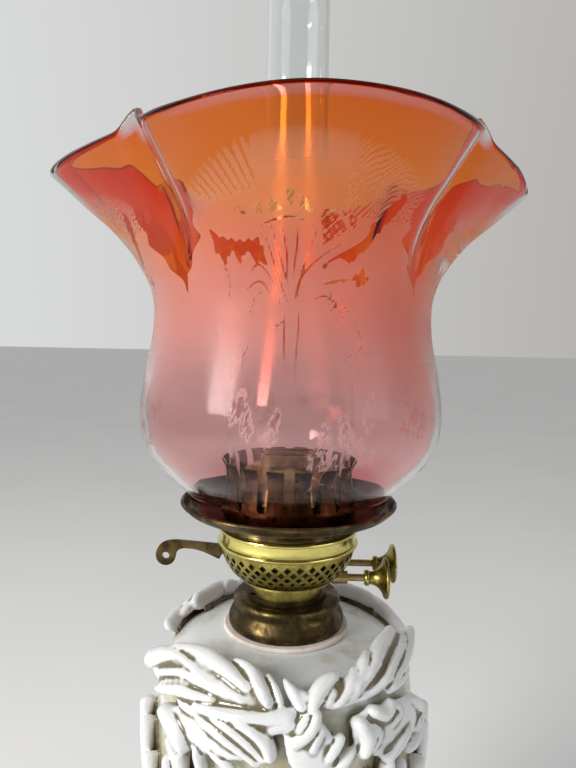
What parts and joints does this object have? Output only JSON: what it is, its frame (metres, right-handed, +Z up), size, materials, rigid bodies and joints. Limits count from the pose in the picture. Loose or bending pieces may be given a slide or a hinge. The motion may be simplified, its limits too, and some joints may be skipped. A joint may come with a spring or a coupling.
{
  "type": "oil lamp",
  "caption": "Twin-wick oil lamp: glazed ceramic font with leaf relief, pierced brass burner, tall glass chimney and a four-lobed amber-to-pink etched glass shade.",
  "frame": {"origin": "on the floor under the lamp's axis, which is the centre of its box", "axes": "+Z up along the lamp's axis, +X towards the wick winders, -Y the side the lamp is seen from"},
  "size_m": [0.2399, 0.241, 0.6],
  "materials": {
    "white_glaze": "glossy white glaze with an olive-brown wash in the hollows",
    "plaster": "matt, chalky, stained",
    "dark_brass": "aged, dark brown patina with rubbed edges",
    "aged_brass": "yellow brass, partly tarnished",
    "polished_brass": "bright rubbed yellow brass",
    "inner_brass": "plain brass, unpolished",
    "clear_glass": "clear, smooth",
    "shaded_glass": "amber rim running to cranberry pink, acid-etched pattern",
    "cotton_wick": "flat woven cotton"
  },
  "bodies": {
    "base": {"ceramic_body": "white_glaze", "plaster_ring": "plaster", "collar": "dark_brass"},
    "burner": {"burner_base": "aged_brass", "bayonet_studs": "inner_brass", "basket": "aged_brass", "burner_drum": "polished_brass", "wick_tube_front": "inner_brass", "wick_tube_back": "inner_brass", "shaft_bush_front": "inner_brass", "shaft_bush_back": "inner_brass", "shaft_hanger_front": "inner_brass", "shaft_hanger_back": "inner_brass", "lever_bracket": "inner_brass", "lever_pivot_pin": "inner_brass"},
    "front_winder": {"winder_shaft_front": "inner_brass", "spur_wheel_front_left": "dark_brass", "spur_wheel_front_right": "inner_brass", "winder_knob_front": "aged_brass"},
    "back_winder": {"winder_shaft_back": "inner_brass", "spur_wheel_back_left": "inner_brass", "spur_wheel_back_right": "inner_brass", "winder_knob_back": "aged_brass"},
    "front_wick": {"wick_front": "cotton_wick"},
    "back_wick": {"wick_back": "cotton_wick"},
    "lever": {"extinguisher_lever": "dark_brass"},
    "snuffers": {"snuffer_front": "inner_brass", "snuffer_back": "inner_brass", "snuffer_bridge": "inner_brass", "snuffer_rod": "inner_brass"},
    "gallery": {"shade_gallery": "dark_brass", "burner_cone": "aged_brass", "chimney_coronet": "dark_brass"},
    "chimney_glass": {"chimney": "clear_glass"},
    "shade_glass": {"shade": "shaded_glass"}
  },
  "joints": [
    {"name": "burner_twist", "type": "hinge", "parent": "base", "child": "burner", "pos_m": [0, 0, 0.288], "axis": [0, 0, 1], "range_deg": [0, 25]},
    {"name": "front_winder_turn", "type": "hinge", "parent": "burner", "child": "front_winder", "pos_m": [0.03, -0.0107, 0.3], "axis": [1, 0, 0], "range_deg": [-115, 150]},
    {"name": "back_winder_turn", "type": "hinge", "parent": "burner", "child": "back_winder", "pos_m": [0.03, 0.0107, 0.3], "axis": [-1, 0, 0], "range_deg": [-115, 150]},
    {"name": "front_wick_lift", "type": "slide", "parent": "burner", "child": "front_wick", "axis": [0, 0, 1], "range_m": [-0.0061, 0.0079]},
    {"name": "back_wick_lift", "type": "slide", "parent": "burner", "child": "back_wick", "axis": [0, 0, 1], "range_m": [-0.0061, 0.0079]},
    {"name": "extinguisher_press", "type": "hinge", "parent": "burner", "child": "lever", "pos_m": [-0.0295, 0, 0.309], "axis": [0, -1, 0], "range_deg": [0, 13.7]},
    {"name": "snuffer_lift", "type": "slide", "parent": "burner", "child": "snuffers", "axis": [0, 0, 1], "range_m": [0, 0.006]},
    {"name": "gallery_lift", "type": "slide", "parent": "burner", "child": "gallery", "axis": [0, 0, 1], "range_m": [0, 0.045]},
    {"name": "chimney_lift", "type": "slide", "parent": "gallery", "child": "chimney_glass", "axis": [0, 0, 1], "range_m": [0, 0.175]},
    {"name": "shade_lift", "type": "slide", "parent": "gallery", "child": "shade_glass", "axis": [0, 0, 1], "range_m": [0, 0.27]}
  ],
  "couplings": [
    {"joint": "front_wick_lift", "follows": "front_winder_turn", "m_per_rad": 0.003},
    {"joint": "back_wick_lift", "follows": "back_winder_turn", "m_per_rad": 0.003},
    {"joint": "snuffer_lift", "follows": "extinguisher_press", "m_per_rad": 0.025}
  ]
}
